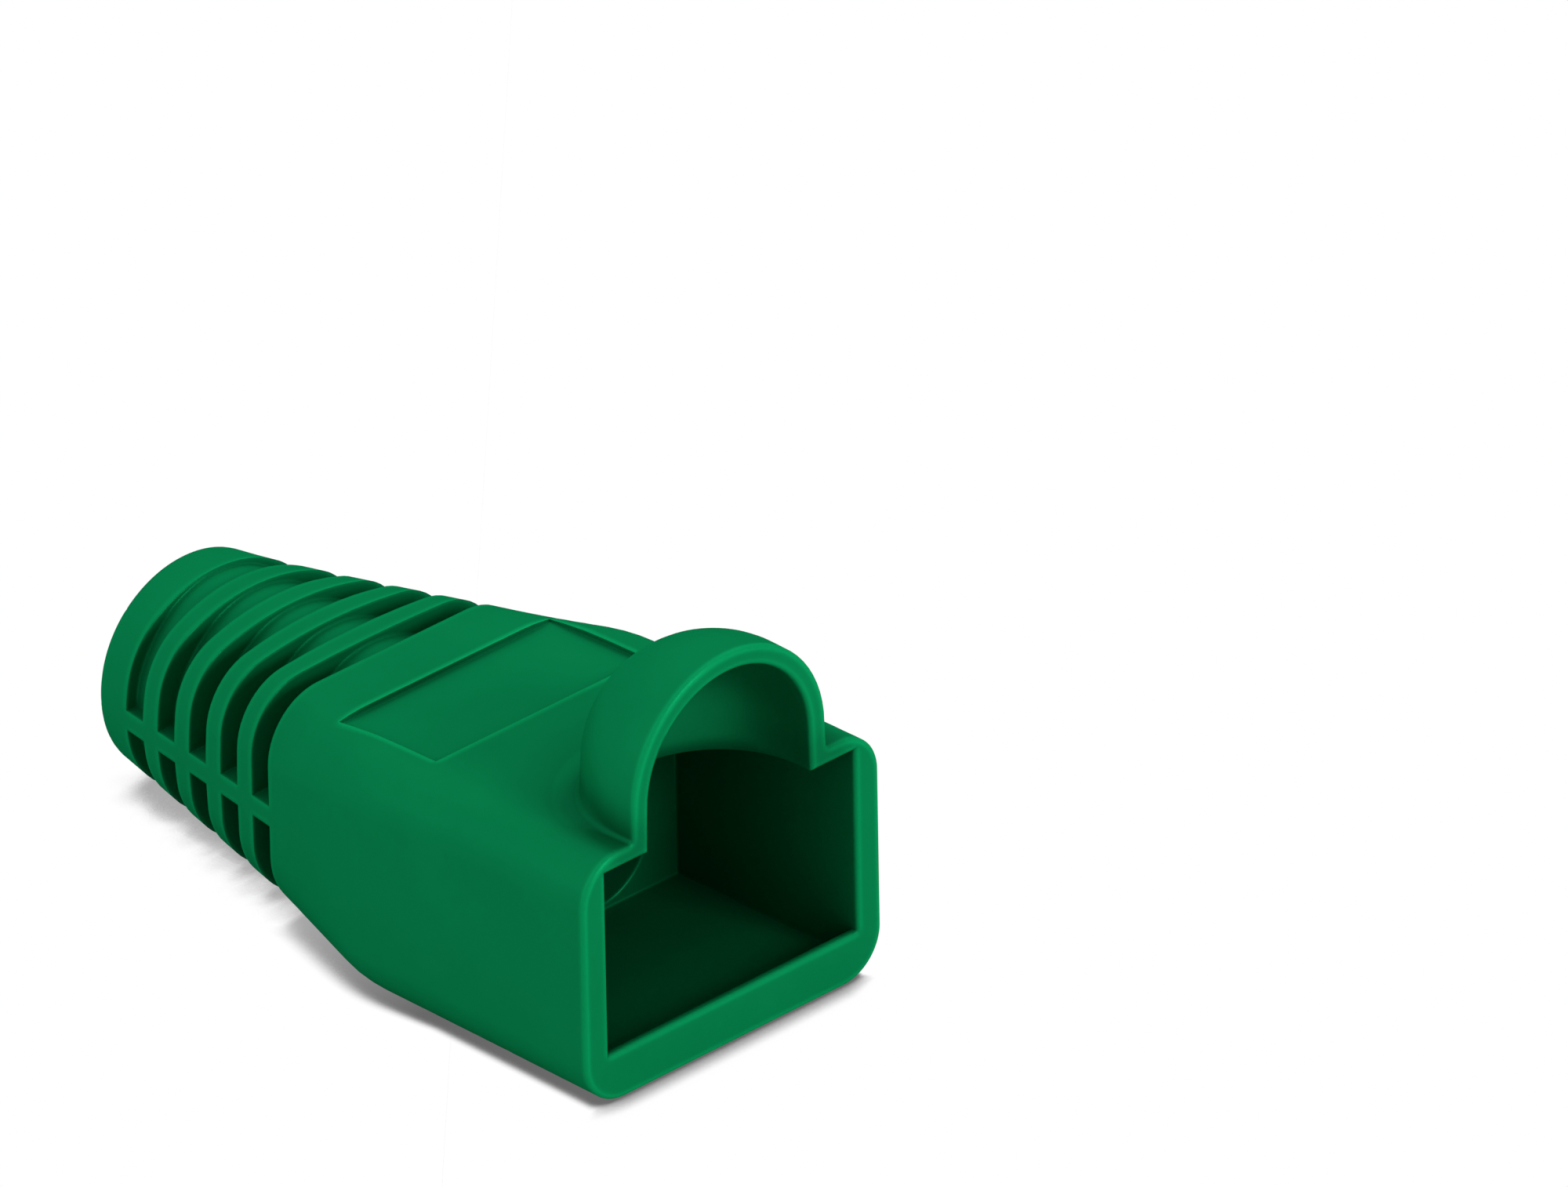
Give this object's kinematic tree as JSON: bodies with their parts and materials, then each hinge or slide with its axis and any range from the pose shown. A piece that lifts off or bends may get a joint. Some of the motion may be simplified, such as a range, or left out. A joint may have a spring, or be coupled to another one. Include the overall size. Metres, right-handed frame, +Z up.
{
  "type": "rj45 strain relief boot",
  "caption": "Soft moulded boot that slips over a modular plug: open mouth, domed latch hood, tapered body, slotted flexible ribs and a round cable bore.",
  "frame": {"origin": "under the middle of the boot's length and width, on the plane of its flat underside", "axes": "+Y from the plug mouth to the cable end, along the cable; +Z up, towards the latch hood; +X across"},
  "size_m": [0.0144, 0.0278, 0.0154],
  "materials": {
    "soft_pvc": "satin green plasticised PVC, as moulded"
  },
  "bodies": {
    "root": {"strain_relief_boot": "soft_pvc"}
  },
  "joints": []
}
